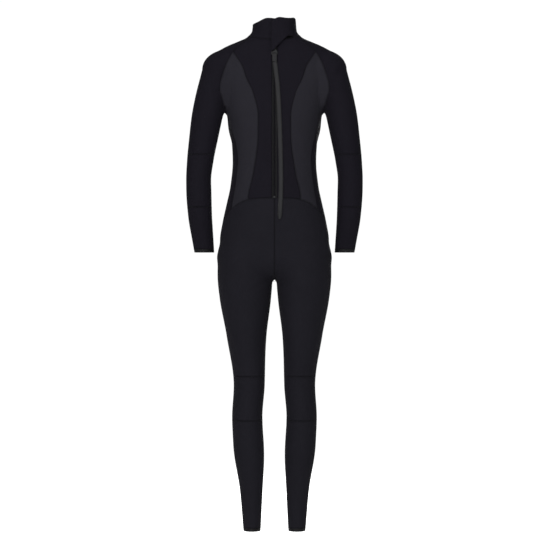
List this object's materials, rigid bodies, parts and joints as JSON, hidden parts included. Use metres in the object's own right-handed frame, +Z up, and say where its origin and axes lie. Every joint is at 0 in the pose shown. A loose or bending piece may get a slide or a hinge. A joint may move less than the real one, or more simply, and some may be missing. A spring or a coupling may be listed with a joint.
{
  "type": "full wetsuit",
  "caption": "Women's full-length neoprene wetsuit with long sleeves and legs, a back zip with a webbing leash, contoured back panels and a stand-up collar with a tab.",
  "frame": {"origin": "centre of the neckline seam at the nape of the neck, on the outer surface, where the suit is carried", "axes": "+Z up along the wearer, +Y the way the wearer faces, so the zip is on the -Y side, +X to the wearer's right"},
  "size_m": [0.4852, 0.2205, 1.4164],
  "materials": {
    "jersey_neoprene": "matt knitted nylon jersey on neoprene",
    "leg_neoprene": "matt knitted nylon jersey on neoprene, slightly smoother",
    "charcoal_neoprene": "matt charcoal jersey on neoprene",
    "pad_rubber": "satin textured rubber print and hem tape",
    "zip_plastic": "moulded acetal",
    "zip_tape": "woven polyester tape",
    "zip_metal": "dark enamelled zinc",
    "webbing": "flat woven polyester webbing"
  },
  "bodies": {
    "suit": {"back_panel_right": "jersey_neoprene", "back_panel_left": "jersey_neoprene", "back_contour_right": "charcoal_neoprene", "back_contour_left": "charcoal_neoprene", "side_panel_right": "jersey_neoprene", "side_panel_left": "jersey_neoprene", "front_contour_right": "charcoal_neoprene", "front_contour_left": "charcoal_neoprene", "upper_sleeve_right": "jersey_neoprene", "upper_sleeve_left": "jersey_neoprene", "elbow_panel_right": "jersey_neoprene", "elbow_panel_left": "jersey_neoprene", "thigh_back_right": "leg_neoprene", "thigh_back_left": "leg_neoprene", "thigh_front_right": "leg_neoprene", "thigh_front_left": "leg_neoprene", "knee_panel_right": "leg_neoprene", "knee_panel_left": "leg_neoprene", "knee_pad_right": "pad_rubber", "knee_pad_left": "pad_rubber", "zip_teeth_right": "zip_plastic", "zip_teeth_left": "zip_plastic", "zip_top_stop_right": "zip_metal", "zip_top_stop_left": "zip_metal", "zip_tape_right": "zip_tape", "zip_tape_left": "zip_tape", "front_panel": "jersey_neoprene", "collar_band": "jersey_neoprene", "loop_patch": "zip_tape", "zip_bottom_stop": "zip_metal", "zip_flap": "jersey_neoprene"},
    "forearm_right": {"forearm_sleeve_right": "jersey_neoprene", "wrist_hem_right": "pad_rubber"},
    "lower_leg_right": {"calf_panel_right": "leg_neoprene", "ankle_hem_right": "pad_rubber"},
    "forearm_left": {"forearm_sleeve_left": "jersey_neoprene", "wrist_hem_left": "pad_rubber"},
    "lower_leg_left": {"calf_panel_left": "leg_neoprene", "ankle_hem_left": "pad_rubber"},
    "tab": {"collar_tab": "jersey_neoprene", "hook_patch": "zip_plastic"},
    "slider": {"zip_slider": "zip_metal"},
    "puller": {"zip_puller": "zip_metal", "leash_loop": "webbing", "leash": "webbing", "leash_end": "webbing"}
  },
  "joints": [
    {"name": "elbow_right", "type": "hinge", "parent": "suit", "child": "forearm_right", "pos_m": [0.208, 0.05, -0.385], "axis": [1, 0, 0], "range_deg": [0, 90], "deforming": ["elbow_panel_right"]},
    {"name": "knee_right", "type": "hinge", "parent": "suit", "child": "lower_leg_right", "pos_m": [0.0705, 0.072, -0.981], "axis": [-1, 0, 0], "range_deg": [0, 90], "deforming": ["knee_panel_right", "knee_pad_right"]},
    {"name": "elbow_left", "type": "hinge", "parent": "suit", "child": "forearm_left", "pos_m": [-0.208, 0.05, -0.385], "axis": [1, 0, 0], "range_deg": [0, 90], "deforming": ["elbow_panel_left"]},
    {"name": "knee_left", "type": "hinge", "parent": "suit", "child": "lower_leg_left", "pos_m": [-0.0705, 0.072, -0.981], "axis": [-1, 0, 0], "range_deg": [0, 90], "deforming": ["knee_panel_left", "knee_pad_left"]},
    {"name": "tab_fold", "type": "hinge", "parent": "suit", "child": "tab", "pos_m": [0.0535, 0.0238, 0.03], "axis": [0, 0.3981, 0.9173], "range_deg": [0, 125]},
    {"name": "zip_slide", "type": "slide", "parent": "suit", "child": "slider", "axis": [0, -0.0647, -0.9979], "range_m": [0, 0.403]},
    {"name": "puller_pivot", "type": "hinge", "parent": "slider", "child": "puller", "pos_m": [0, -0.00099, -0.01527], "axis": [-1, 0, 0], "range_deg": [0, 13]}
  ]
}
